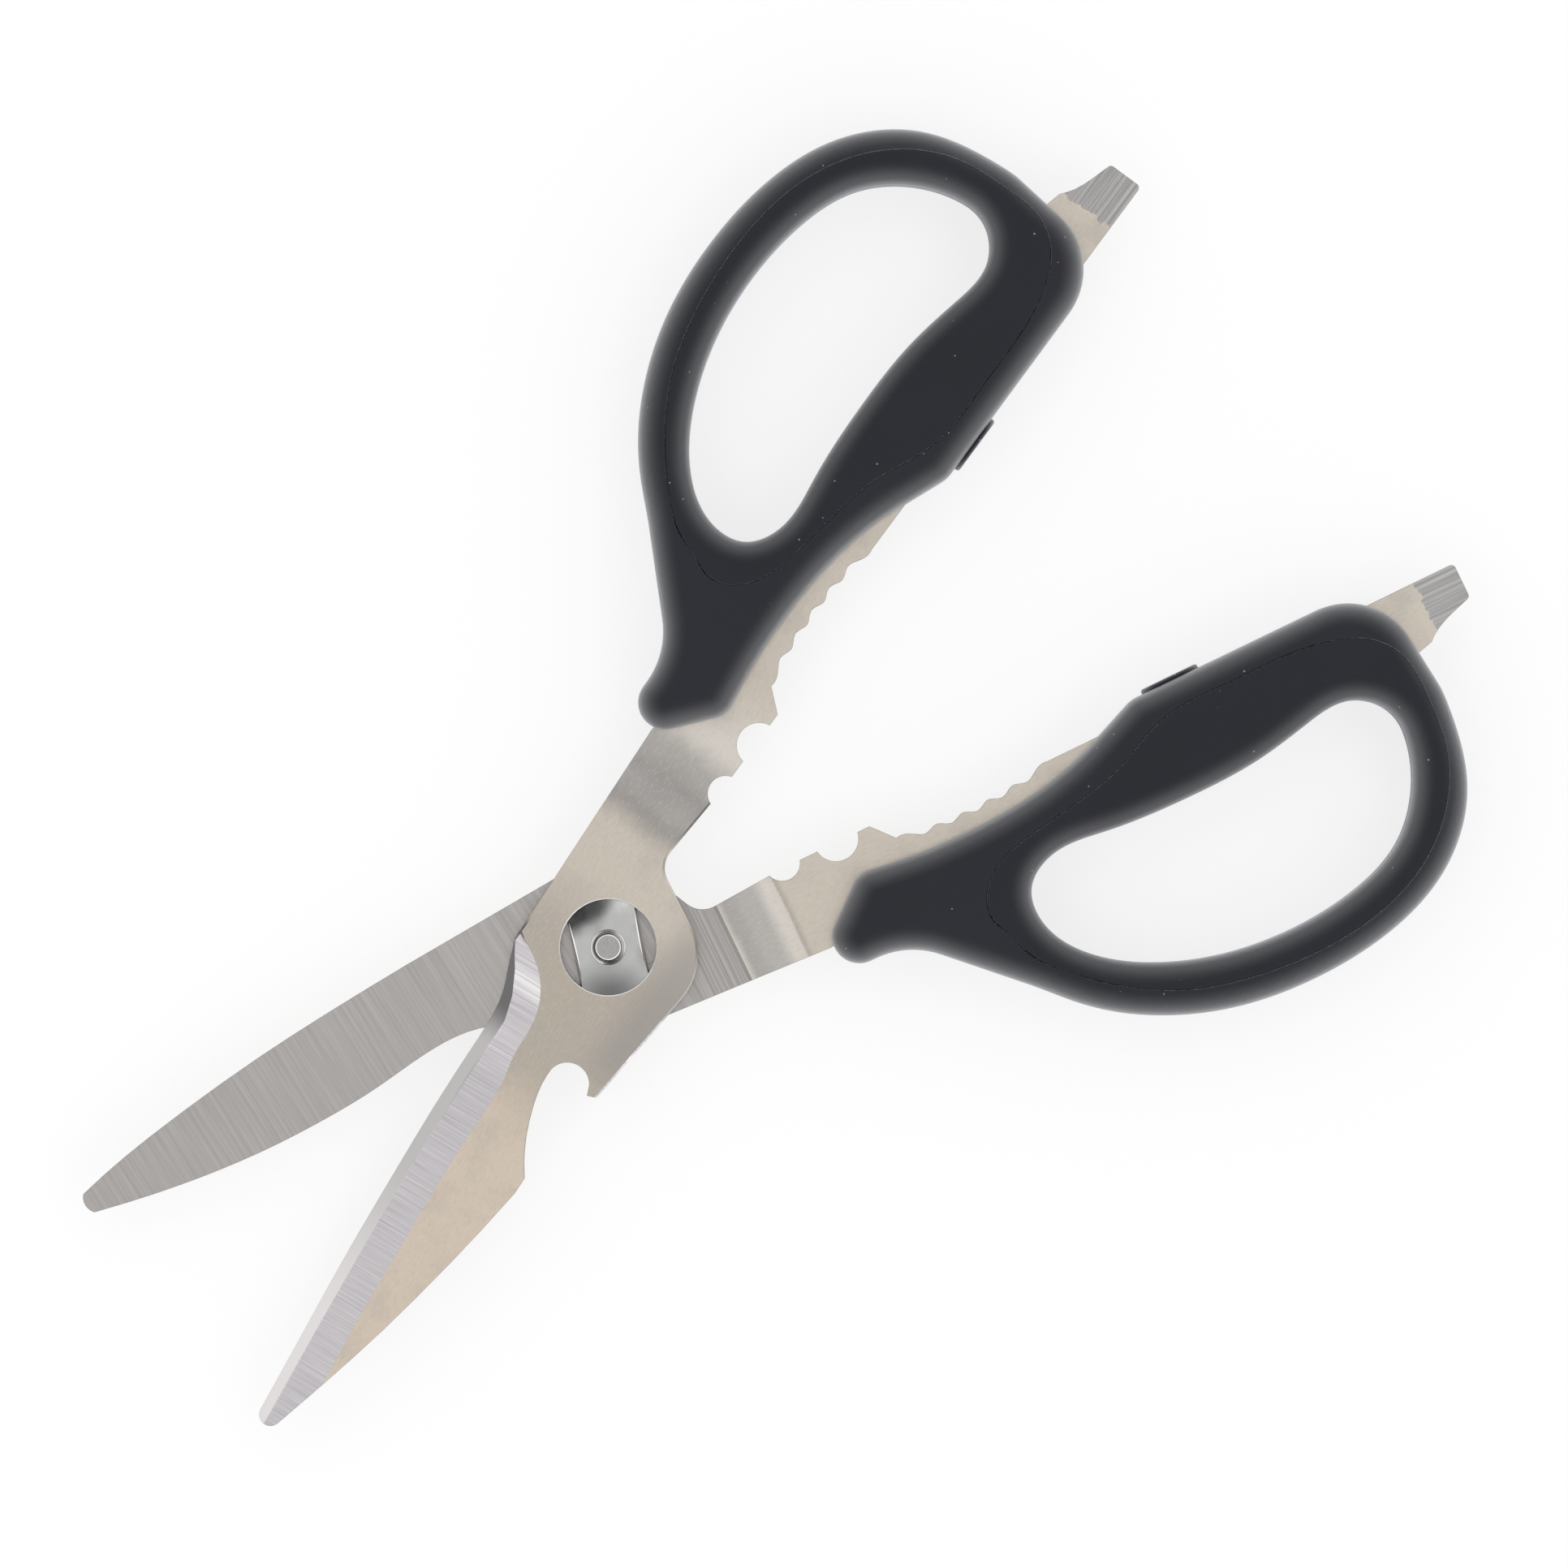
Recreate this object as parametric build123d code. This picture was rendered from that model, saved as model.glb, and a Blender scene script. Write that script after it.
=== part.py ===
from build123d import *
import os
from math import cos, radians, sin, tan

os.makedirs("parts", exist_ok=True)

# Kitchen shears with a pivot that comes apart, shown open on their side.
#
# Each half is drawn closed and by itself. "Along" runs from the pivot to the handle's end,
# and is negative on the blade. "Across" runs from the line where the halves close to the
# half's own outer side. "Up" runs from the mid plane between the plates to the half's own face.
# The front half is the upper one. The back half is turned over, so its face looks down.
# In the finished part +X points from the pivot to the blade tips and +Z to the front half's face,
# and the origin is on the pivot axis, on the flat underside of the rivet.

# Driving sizes in millimetres

# Plates
plate_thickness = 2.5
blade_gap = 0.05
pivot_to_tip = 88.7
blade_width = 13.0
edge_break = 0.3

# Blade grinds, as depths under the plate's own face
wide_grind_drop = 1.2
fine_grind_slope = 0.55

# Bottle-opener notch in the front blade
opener_radius = 3.3
opener_from_pivot = 20.3
opener_drop = 7.3
hook_from_pivot = 18.6
hook_drop = 12.2
hook_nose = 1.5

# Jaws between the pivot and the handles
jaw_inset = 0.25
back_setback = 0.5
neck_from_pivot = 14.6
neck_inset = 1.1
neck_radius = 3.8
shoulder_from_pivot = 7.0
shoulder_drop = 14.1
shoulder_radius = 10.0
nut_notch_radius = 2.7
nut_notch_depth = 1.95
nut_notch_from_pivot = 29.1
cap_notch_radius = 3.4
cap_notch_depth = 2.9
notch_spacing = 8.9
step_width = 2.0
step_slope_length = 2.9
scallop_pitch = 4.27
scallop_depth = 0.75
scallop_count = 6
scallop_inset = 3.6
scallop_bow = 1.15

# Tang
tang_bend_start = 17.4
tang_bend_length = 10.4
tang_inset = 3.4
tang_outer = 14.2
tang_waist = 11.4
lock_hole_radius = 2.2

# Lid-lifter tip at the tang's end
lifter_reach = 9.8
lifter_width = 5.6
lifter_corner = 0.7
lifter_taper_length = 8.2
lifter_tip_thickness = 1.3

# Handles
pivot_to_bolster = 30.2
handle_length = 100.0
handle_width = 50.8
handle_thickness = 13.0
rim_round_share = 0.487
nose_radius = 4.1
waist_reach_share = 0.855
corner_radius = 11.0
ramp_radius = 4.6
opening_round_share = 0.436
grip_wall = 2.2
seam_gap = 0.12

# Stop pads
pad_length = 9.4
pad_height = 6.0
pad_face = 0.05
pad_depth = 2.6
pad_round = 0.45
pad_from_bolster = 63.6
pad_dimple_radius = 1.1
pad_dimple_depth = 0.4

# Pivot that comes apart
counterbore_radius = 7.25
counterbore_depth = 1.3
counterbore_break = 0.15
lock_clearance = 0.05
lock_flats_width = 10.46
lock_rim_thickness = 1.0
lock_rise = 0.45
lock_facet_drop = 0.55
lock_facet_width = 0.75
hub_radius = 5.2
hub_clearance = 0.1
shank_radius = 2.1
rivet_fit = 0.02
rivet_flare_radius = 2.7
rivet_flare_depth = 0.5
rivet_button_radius = 1.95
rivet_button_height = 0.2
rivet_button_round = 0.12
rivet_dish_depth = 0.14
rivet_head_radius = 4.5
rivet_head_height = 1.2
rivet_head_chamfer = 0.5

# Angles in degrees
rest_opening = 27.8
full_opening = 99.8
lock_axis_angle = 62.2
opener_start_angle = -55.0
opener_end_angle = 82.0

# One overrun for every cut that has to pass through its piece
overrun = 3.0

# Points on a closed curve that is grown or shrunk
growth_steps = 40

# Front blade stations from heel to tip: along, edge, fine grind's border, wide grind's border
front_edge_shares = [
    (0.063, 0.938, 0.938, 0.938),
    (0.084, 0.925, 0.915, 0.680),
    (0.101, 0.877, 0.838, 0.500),
    (0.124, 0.812, 0.715, 0.350),
    (0.162, 0.692, 0.562, 0.212),
    (0.203, 0.622, 0.462, 0.160),
    (0.271, 0.585, 0.435, 0.088),
    (0.395, 0.532, 0.385, 0.005),
    (0.530, 0.446, 0.308, -0.062),
    (0.665, 0.350, 0.213, -0.155),
    (0.812, 0.222, 0.092, -0.270),
    (0.985, 0.068, -0.058, -0.440),
]

# Back blade stations, with the dip that only its edge has
back_edge_shares = [
    (0.063, 0.973, 0.973, 0.973),
    (0.084, 0.950, 0.940, 0.700),
    (0.101, 0.870, 0.825, 0.470),
    (0.124, 0.777, 0.670, 0.300),
    (0.162, 0.569, 0.446, 0.090),
    (0.203, 0.354, 0.223, -0.092),
    (0.251, 0.212, 0.085, -0.215),
    (0.321, 0.169, 0.038, -0.260),
    (0.457, 0.300, 0.169, -0.170),
    (0.564, 0.369, 0.238, -0.115),
    (0.665, 0.389, 0.258, -0.100),
    (0.778, 0.358, 0.225, -0.140),
    (0.890, 0.277, 0.146, -0.230),
    (0.984, 0.177, 0.054, -0.320),
]

# Spines from the thick part to the tip: along, across
front_spine_shares = [(0.430, -0.822), (0.561, -0.728), (0.680, -0.614), (0.754, -0.530), (0.901, -0.323)]
back_spine_shares = [(0.324, -0.834), (0.508, -0.709), (0.609, -0.622), (0.798, -0.399), (0.933, -0.185)]

# Rounded tips, from spine to edge: along, across
front_tip_shares = [(0.986, -0.190), (1.000, -0.050), (0.985, 0.068)]
back_tip_shares = [(0.988, -0.070), (0.993, 0.060), (0.984, 0.177)]

# The curve from the bottle-opener notch out to the front blade's spine: along and across that way
opener_ramp_shares = [(0.151, 0.026), (0.364, 0.191), (0.643, 0.551), (0.861, 0.980)]

# The tang's outer edge inside the handle, from bolster to tip: along the handle, across the tang
hidden_tang_shares = [(0.15, 0.930), (0.40, 0.830), (0.65, 0.797), (0.90, 0.870), (0.994, 0.930)]

# The outer curve of the lid-lifter from its corner: along its reach, across from its width outwards
lifter_curve_shares = [(0.173, 0.857), (0.357, 0.536), (0.622, 0.274)]

# Holes that the handle plastic runs through, along the handle
lock_hole_shares = [0.54, 0.74, 0.90]

# Handle outline, along and across: the bolster's nose and waist, the bow and its lower corner
bolster_nose_share = (-0.067, 0.374)
bolster_waist_share = (0.107, 0.376)
handle_bow_shares = [
    (0.245, 0.644), (0.294, 0.745), (0.345, 0.829), (0.395, 0.888), (0.522, 0.975), (0.645, 0.996),
    (0.771, 0.967), (0.888, 0.868), (0.960, 0.715), (0.992, 0.520), (0.998, 0.400), (0.992, 0.270),
]
handle_corner_share = (0.979, 0.015)

# The handle's edge over the steel: the ramp off the closing line and the long curve
handle_ramp_shares = [(0.570, 0.015), (0.503, 0.069)]
handle_jaw_shares = [(0.503, 0.069), (0.400, 0.131), (0.290, 0.154), (0.180, 0.149), (0.085, 0.126)]

# Finger opening
opening_shares = [
    (0.920, 0.450), (0.893, 0.618), (0.836, 0.743), (0.750, 0.812), (0.640, 0.836), (0.540, 0.818),
    (0.440, 0.757), (0.343, 0.630), (0.304, 0.492), (0.311, 0.390), (0.358, 0.328), (0.450, 0.333),
    (0.580, 0.349), (0.700, 0.340), (0.790, 0.307), (0.862, 0.297), (0.906, 0.355),
]

# Line where the soft grip meets the hard frame
parting_shares = [
    (0.243, 0.455), (0.236, 0.400), (0.250, 0.332), (0.290, 0.272), (0.350, 0.242), (0.430, 0.216),
    (0.512, 0.176), (0.572, 0.122), (0.625, 0.095), (0.715, 0.092), (0.815, 0.094), (0.890, 0.120),
    (0.940, 0.172), (0.969, 0.262), (0.973, 0.380), (0.966, 0.540), (0.938, 0.670), (0.890, 0.780),
    (0.818, 0.868), (0.735, 0.914), (0.640, 0.926), (0.545, 0.908), (0.460, 0.864), (0.380, 0.780),
    (0.300, 0.650), (0.260, 0.545),
]

# Sizes worked out from the ones above

face_height = blade_gap / 2 + plate_thickness
tang_half = plate_thickness / 2
mid_height = rivet_head_height + plate_thickness + blade_gap / 2
handle_end = pivot_to_bolster + handle_length
tang_end = handle_end + lifter_reach
cap_notch_from_pivot = nut_notch_from_pivot + notch_spacing
slope_start = cap_notch_from_pivot + cap_notch_radius + step_width
scallop_start = slope_start + step_slope_length
scallop_end = scallop_start + scallop_count * scallop_pitch
bow_wall_at_end = (handle_bow_shares[-2][0] - opening_shares[0][0]) * handle_length
bow_wall_at_side = (handle_bow_shares[5][1] - opening_shares[4][1]) * handle_width
bow_wall = min(bow_wall_at_end, bow_wall_at_side)
rim_round = rim_round_share * bow_wall
opening_round = opening_round_share * bow_wall
lock_radius = counterbore_radius - lock_clearance
slot_width = 2 * (hub_radius + hub_clearance)
seat_height = face_height - counterbore_depth
lock_under = seat_height + lock_clearance
lock_rim_top = lock_under + lock_rim_thickness
lock_top = lock_rim_top + lock_rise
front_turn = 180 + rest_opening / 2
back_turn = -rest_opening / 2
release_turn = full_opening - rest_opening
slot_angle = lock_axis_angle - release_turn - front_turn


def on_blade(share):
    """A point of the blade, from shares of its length and width."""
    return (-share[0] * pivot_to_tip, share[1] * blade_width)


def on_handle(share):
    """A point of the handle, from shares of its length and width."""
    return (pivot_to_bolster + share[0] * handle_length, share[1] * handle_width)


def raised(sketch, bottom, top):
    """A flat shape drawn up from one height to another."""
    return Pos(0, 0, bottom) * extrude(sketch, amount=top - bottom, dir=(0, 0, 1))


def scallop_points(setback):
    """Valleys and peaks of the toothed jaw, from the handle's end towards the pivot."""
    points = []
    steps = 2 * scallop_count
    for step in range(steps + 1):
        share = step / steps
        bow = scallop_bow * 4 * share * (1 - share)
        valley = scallop_depth if step % 2 == 0 and 0 < step < steps else 0
        along = scallop_end - share * scallop_count * scallop_pitch
        points.append((along, scallop_inset + setback * share + bow + valley))
    return points


def notch(along, radius, depth, setback):
    """A round notch in the jaw, as deep as it is from the jaw's edge."""
    return Pos(along, jaw_inset + setback + depth - radius) * Circle(radius)


def on_opener(angle):
    """A point of the bottle-opener notch."""
    turn = radians(angle)
    return (-opener_from_pivot + opener_radius * cos(turn), -opener_drop + opener_radius * sin(turn))


def opener_edges(hook_corner, last_spine_point):
    """The hook, the round notch and the ramp out to the front blade's spine."""
    hook_tip = (-hook_from_pivot - hook_nose / 2, -hook_drop + hook_nose / 8)
    nose = (-opener_from_pivot + hook_nose / 4, -hook_drop + hook_nose)
    start = on_opener(opener_start_angle)
    middle = on_opener((opener_start_angle + opener_end_angle) / 2)
    end = on_opener(opener_end_angle)
    hook = Polyline(hook_corner, hook_tip, nose, start)
    cup = ThreePointArc(start, middle, end)
    run = last_spine_point[0] - end[0]
    fall = last_spine_point[1] - end[1]
    ramp_points = [(end[0] + along * run, end[1] + across * fall) for along, across in opener_ramp_shares]
    ramp = Spline(end, *ramp_points)
    shoulder = Line(ramp_points[-1], last_spine_point)
    return [hook, cup, ramp, shoulder]


def tang_outline(setback, edge_start):
    """The tang's outer edge, hidden in the handle, and the lid-lifter's curve and end."""
    corner = (pivot_to_bolster, tang_outer + setback)
    tang_points = [(pivot_to_bolster + along * handle_length, across * tang_outer)
                   for along, across in hidden_tang_shares]
    lifter_outer = tang_inset + lifter_width
    rise = tang_points[-1][1] - lifter_outer
    curve_points = [(handle_end + along * lifter_reach, lifter_outer + across * rise)
                    for along, across in lifter_curve_shares]
    back = Line(edge_start, corner)
    hidden = Spline(corner, *tang_points)
    corner_run = Line(tang_points[-1], curve_points[0])
    lifter = Spline(*curve_points, (tang_end, lifter_outer))
    end = Line((tang_end, lifter_outer), (tang_end, tang_inset))
    return [back, hidden, corner_run, lifter, end]


def plate_outline(edge_shares, spine_shares, tip_shares, setback, with_opener):
    """The flat outline of one blade with its tang."""
    teeth = scallop_points(setback)
    jaw = jaw_inset + setback
    first_run = Line((tang_end, tang_inset), teeth[0])
    teeth_edge = Spline(*teeth)
    jaw_edge = Polyline(teeth[-1], (slope_start, jaw), (nut_notch_from_pivot, jaw))
    spine_points = [on_blade(share) for share in spine_shares]
    tip_points = [on_blade(share) for share in tip_shares]
    edge_points = [on_blade(share[:2]) for share in reversed(edge_shares)]
    if with_opener:
        neck_end = (-hook_from_pivot + hook_nose / 2, -hook_drop)
        spine_edges = opener_edges(neck_end, spine_points[0])
    else:
        neck_end = spine_points[0]
        spine_edges = []
    neck = FilletPolyline(
        (nut_notch_from_pivot, jaw),
        (neck_from_pivot, neck_inset + setback),
        (shoulder_from_pivot, setback - shoulder_drop),
        neck_end,
        radius=[neck_radius, shoulder_radius],
    )
    spine = Spline(*spine_points, tip_points[0])
    tip = ThreePointArc(*tip_points)
    edge = Spline(*edge_points)
    tang = tang_outline(setback, edge_points[-1])
    edges = [first_run, teeth_edge, jaw_edge, neck, *spine_edges, spine, tip, edge, *tang]
    sheet = make_face(Curve() + edges)
    sheet -= notch(nut_notch_from_pivot, nut_notch_radius, nut_notch_depth, setback)
    sheet -= notch(cap_notch_from_pivot, cap_notch_radius, cap_notch_depth, setback)
    for share in lock_hole_shares:
        along = pivot_to_bolster + share * handle_length
        sheet -= Pos(along, (tang_inset + tang_waist) / 2) * Circle(lock_hole_radius)
    corners = sheet.vertices().sort_by(Axis.X)[-2:]
    return fillet(corners, lifter_corner)


def bent_strip():
    """The plate seen from its edge: flat on the blade, bent down to the mid plane, thin at the tip."""
    bend_end = tang_bend_start + tang_bend_length
    bend_middle = tang_bend_start + tang_bend_length / 2
    taper_start = tang_end - lifter_taper_length
    far = -pivot_to_tip - overrun
    top_bend = Bezier((tang_bend_start, face_height), (bend_middle, face_height),
                      (bend_middle, tang_half), (bend_end, tang_half))
    low_bend = Bezier((tang_bend_start, blade_gap / 2), (bend_middle, blade_gap / 2),
                      (bend_middle, -tang_half), (bend_end, -tang_half))
    top_tang = Polyline((bend_end, tang_half), (taper_start, tang_half), (tang_end, lifter_tip_thickness / 2),
                        (tang_end, -lifter_tip_thickness / 2), (taper_start, -tang_half), (bend_end, -tang_half))
    blade = Polyline((tang_bend_start, blade_gap / 2), (far, blade_gap / 2), (far, face_height),
                     (tang_bend_start, face_height))
    side = make_face(Curve() + [top_bend, top_tang, low_bend, blade])
    return extrude(Plane.XZ * side, amount=handle_width, both=True)


def grinds(edge_shares):
    """The stock that the two grinds take off the blade's own face."""
    sections = []
    last = edge_shares[-1]
    beyond = (last[0] + overrun / pivot_to_tip, *last[1:])
    for along_share, edge_share, fine_share, wide_share in [*edge_shares, beyond]:
        edge = edge_share * blade_width + overrun
        fine = fine_share * blade_width
        wide = wide_share * blade_width
        fine_height = face_height - wide_grind_drop
        corner = fine_height - (edge - fine) * fine_grind_slope
        points = [(wide, face_height), (fine, fine_height), (edge, corner), (edge, face_height + overrun),
                  (wide, face_height + overrun)]
        station = Plane(origin=(-along_share * pivot_to_tip, 0, 0), x_dir=(0, 1, 0), z_dir=(1, 0, 0))
        sections.append(station * make_face(Polyline(*points, close=True)))
    return loft(sections)


def place_front(piece):
    return Pos(0, 0, mid_height) * Rot(0, 0, front_turn) * piece


def place_back(piece):
    return Pos(0, 0, mid_height) * Rot(0, 0, back_turn) * Rot(0, 180, 0) * piece


def make_plate(edge_shares, spine_shares, tip_shares, setback, with_opener):
    """One stamped, bent and ground plate, before its pivot hole."""
    outline = plate_outline(edge_shares, spine_shares, tip_shares, setback, with_opener)
    tall = raised(outline, -handle_thickness, handle_thickness)
    plate = bent_strip() & tall
    return plate - grinds(edge_shares)


def break_shoulder(plate):
    """The plate with a small bevel on its face along the neck and the shoulder, up to the hook."""
    level = plate.edges().filter_by_position(Axis.Z, face_height - blade_gap, face_height + blade_gap)
    notch_side = opener_radius - opener_from_pivot
    run = [edge for edge in level
           if notch_side < edge.center().X < tang_bend_start and edge.center().Y < neck_inset]
    return chamfer(run, edge_break)


def make_front_blade():
    """The upper plate, with its counterbore and the slot that lets the lock plate through."""
    plate = break_shoulder(make_plate(front_edge_shares, front_spine_shares, front_tip_shares, 0, True))
    counterbore = raised(Circle(counterbore_radius), seat_height, face_height + overrun)
    counterbore += Pos(0, 0, face_height) * Cone(counterbore_radius, counterbore_radius + counterbore_break,
                                                 counterbore_break, align=(Align.CENTER, Align.CENTER, Align.MAX))
    slot_face = Circle(counterbore_radius) & Rectangle(2 * counterbore_radius, slot_width)
    slot = Rot(0, 0, slot_angle) * raised(slot_face, -overrun, face_height + overrun)
    return plate - counterbore - slot


def make_back_blade():
    """The lower plate, with the round hole for the rivet."""
    plate = make_plate(back_edge_shares, back_spine_shares, back_tip_shares, back_setback, False)
    return plate - raised(Circle(shank_radius + rivet_fit), -overrun, face_height + overrun)


def rounded_corner(face, corner, radius):
    """The face with the corner nearest to a point rounded off."""
    return fillet(face.vertices().sort_by_distance(corner)[0], radius)


def corner_tangent(before, corner, after):
    """How far a rounding of radius one runs along the two sides of a corner."""
    turn = (Vector(corner) - Vector(before)).get_angle(Vector(after) - Vector(corner))
    return tan(radians(turn / 2))


def handle_face():
    """The handle's outline, drawn round the bow, along the closing line and over the steel."""
    bow_points = [on_handle(share) for share in handle_bow_shares]
    ramp_points = [on_handle(share) for share in handle_ramp_shares]
    jaw_points = [on_handle(share) for share in handle_jaw_shares]
    nose = on_handle(bolster_nose_share)
    waist = on_handle(bolster_waist_share)
    corner = on_handle(handle_corner_share)
    bow_start = Vector(bow_points[0]) - Vector(waist)
    bow_end = Vector(corner) - Vector(bow_points[-1])
    ramp_way = Vector(ramp_points[1]) - Vector(ramp_points[0])
    jaw_end = Vector(jaw_points[-1]) - Vector(jaw_points[-2])
    bow = Spline(*bow_points, tangents=[bow_start, bow_end])
    closing = Polyline(bow_points[-1], corner, *ramp_points)
    jaw_edge = Spline(*jaw_points, tangents=[ramp_way, jaw_end])
    bolster = Polyline(jaw_points[-1], nose, waist, bow_points[0])
    face = make_face(Curve() + [bow, closing, jaw_edge, bolster])
    face = rounded_corner(face, corner, corner_radius)
    face = rounded_corner(face, ramp_points[0], ramp_radius)
    face = rounded_corner(face, jaw_points[-1], nose_radius)
    face = rounded_corner(face, nose, nose_radius)
    nose_reach = nose_radius * corner_tangent(jaw_points[-1], nose, waist)
    waist_reach = waist_reach_share * ((Vector(waist) - Vector(nose)).length - nose_reach)
    return rounded_corner(face, waist, waist_reach / corner_tangent(nose, waist, bow_points[0]))


def closed_face(shares, growth=0):
    """A face inside one smooth closed curve on the handle, grown outwards by an even amount."""
    curve = Spline(*[on_handle(share) for share in shares], periodic=True)
    if growth == 0:
        return make_face(curve)
    points = []
    for step in range(growth_steps):
        way = curve % (step / growth_steps)
        points.append(curve @ (step / growth_steps) + Vector(way.Y, -way.X) * growth)
    return make_face(Spline(*points, periodic=True))


def make_handle_body():
    """The whole moulded handle, rounded all over, before it is parted into frame and grip."""
    outline = handle_face()
    opening = closed_face(opening_shares)
    body = raised(outline, -handle_thickness / 2, handle_thickness / 2)
    body = fillet(body.faces().filter_by(Axis.Z).edges(), rim_round)
    body -= raised(opening, -handle_thickness, handle_thickness)
    mouths = [wire for face in body.faces().filter_by(Axis.Z) for wire in face.inner_wires()]
    return fillet([edge for wire in mouths for edge in wire.edges()], opening_round)


def place_pad(pad):
    """Turns a pad drawn flat so that its face looks at the closing line."""
    return Pos(pivot_to_bolster + pad_from_bolster, pad_face, 0) * Rot(-90, 0, 0) * pad


def make_stop_pad():
    """The oval bumper that meets its twin on the other handle, with the small dimple in its face."""
    pad = raised(SlotOverall(pad_length, pad_height), 0, pad_depth)
    pad = fillet(pad.faces().sort_by(Axis.Z)[0].edges(), pad_round)
    return place_pad(pad - raised(Circle(pad_dimple_radius), 0, pad_dimple_depth))


def make_pad_pocket():
    """The oval pocket that holds the stop pad in the frame."""
    return place_pad(raised(SlotOverall(pad_length, pad_height), 0, pad_depth))


def make_grip_and_frame(plate):
    """The handle parted into its soft grip ring and the hard frame that carries ring and tang."""
    body = make_handle_body()
    zone = closed_face(parting_shares)
    core_half = handle_thickness / 2 - grip_wall
    core = raised(Circle(tang_end) - closed_face(opening_shares, grip_wall), -core_half, core_half)
    grip_space = raised(zone, -handle_thickness, handle_thickness) - core
    ring = raised(closed_face(parting_shares, -seam_gap), -handle_thickness, handle_thickness) - core
    frame = body - grip_space - plate - make_pad_pocket()
    return body & ring, frame


def make_lock_plate():
    """The domed plate with two flats that holds the halves together until its flats meet the slot."""
    dome_radius = (lock_radius ** 2 + lock_rise ** 2) / (2 * lock_rise)
    disc = raised(Circle(lock_radius), lock_under, lock_top)
    dome = Pos(0, 0, lock_top - dome_radius) * Sphere(dome_radius)
    flats = raised(Rectangle(2 * lock_radius, lock_flats_width), lock_under, lock_top)
    plate = disc & dome & flats
    facet_side = lock_flats_width / 2
    for side in (-1, 1):
        facet_points = [(side * (facet_side - lock_facet_width), lock_top),
                        (side * (facet_side + overrun), lock_top),
                        (side * (facet_side + overrun), lock_top - facet_fall(overrun)),
                        (side * facet_side, lock_top - facet_fall(0))]
        facet = make_face(Polyline(*facet_points, close=True))
        plate -= extrude(Plane.YZ * facet, amount=2 * lock_radius, both=True)
    plate -= rivet_flare(rivet_fit)
    return Rot(0, 0, lock_axis_angle) * plate


def facet_fall(beyond):
    """How far the lock plate's sloped facet has fallen at its flat, or beyond it."""
    return (lock_facet_width + beyond) * lock_facet_drop / lock_facet_width


def rivet_flare(clearance):
    """The rivet's shank with its peened, widened end, or the hole for it with a clearance."""
    radius = shank_radius + clearance
    shank = raised(Circle(radius), -face_height - rivet_head_height, lock_top)
    flare = Cone(radius, rivet_flare_radius + clearance, rivet_flare_depth,
                 align=(Align.CENTER, Align.CENTER, Align.MAX))
    return shank + Pos(0, 0, lock_top) * flare


def make_pivot_rivet():
    """The rivet through back plate, hub and lock plate, with a flat head and a peened button end."""
    head = Pos(0, 0, -face_height) * Cylinder(rivet_head_radius, rivet_head_height,
                                              align=(Align.CENTER, Align.CENTER, Align.MAX))
    head = chamfer(head.edges().filter_by(GeomType.CIRCLE).sort_by(Axis.Z)[0], rivet_head_chamfer)
    button = Pos(0, 0, lock_top) * Cylinder(rivet_button_radius, rivet_button_height,
                                            align=(Align.CENTER, Align.CENTER, Align.MIN))
    button = fillet(button.edges().filter_by(GeomType.CIRCLE).sort_by(Axis.Z)[-1], rivet_button_round)
    dish = Pos(0, 0, lock_top) * Cone(rivet_button_radius, rivet_flare_radius, rivet_dish_depth,
                                      align=(Align.CENTER, Align.CENTER, Align.MAX))
    core = raised(Circle(rivet_button_radius), -face_height, lock_top)
    return head + (rivet_flare(0) - dish) + core + button


def make_hub_collar():
    """The round hub that the front plate's slot turns on."""
    ring = Circle(hub_radius) - Circle(shank_radius + rivet_fit)
    return raised(ring, -blade_gap / 2, lock_under)


def place_pivot(piece):
    return Pos(0, 0, mid_height) * piece


front_blade = make_front_blade()
back_blade = make_back_blade()
front_grip, front_frame = make_grip_and_frame(front_blade)
back_grip, back_frame = make_grip_and_frame(back_blade)
stop_pad = make_stop_pad()

pieces = {
    "front_blade": place_front(front_blade),
    "back_blade": place_back(back_blade),
    "front_handle_frame": place_front(front_frame),
    "back_handle_frame": place_back(back_frame),
    "front_soft_grip": place_front(front_grip),
    "back_soft_grip": place_back(back_grip),
    "front_stop_pad": place_front(stop_pad),
    "back_stop_pad": place_back(stop_pad),
    "lock_plate": place_pivot(make_lock_plate()),
    "hub_collar": place_pivot(make_hub_collar()),
    "pivot_rivet": place_pivot(make_pivot_rivet()),
}

for name, piece in pieces.items():
    export_step(piece, f"parts/{name}.step")
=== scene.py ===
import math

import bpy
from mathutils import Matrix, Vector


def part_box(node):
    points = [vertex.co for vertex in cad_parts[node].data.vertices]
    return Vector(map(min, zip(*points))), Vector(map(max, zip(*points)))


# Kitchen shears lying on white. The CAD frame has +X from the pivot to the blade tips
# and +Z towards the viewer. Lengths here are in metres, and inside materials in millimetres.

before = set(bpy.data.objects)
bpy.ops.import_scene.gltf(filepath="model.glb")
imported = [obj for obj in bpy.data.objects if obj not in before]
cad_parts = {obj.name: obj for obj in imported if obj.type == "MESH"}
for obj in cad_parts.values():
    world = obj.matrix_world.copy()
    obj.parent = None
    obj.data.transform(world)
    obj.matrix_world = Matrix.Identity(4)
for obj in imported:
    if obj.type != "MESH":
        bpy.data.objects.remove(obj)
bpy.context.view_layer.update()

# The photograph's framing: where its right and up run in the frame, and what it takes in

photo_right = Vector((-0.7694, 0.6388, 0)).normalized()
photo_up = Vector((-0.6388, -0.7694, 0)).normalized()
photo_centre = Vector((-0.0361, -0.0020, 0.0037))
photo_width = 0.2367
camera_distance = 1.5
camera_reach = 10.0
sensor_width = 36

# The object's own numbers, as in the CAD part: angles of its two halves and of the lock
# plate, then millimetres along each half from the pivot towards the handle's end

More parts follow.
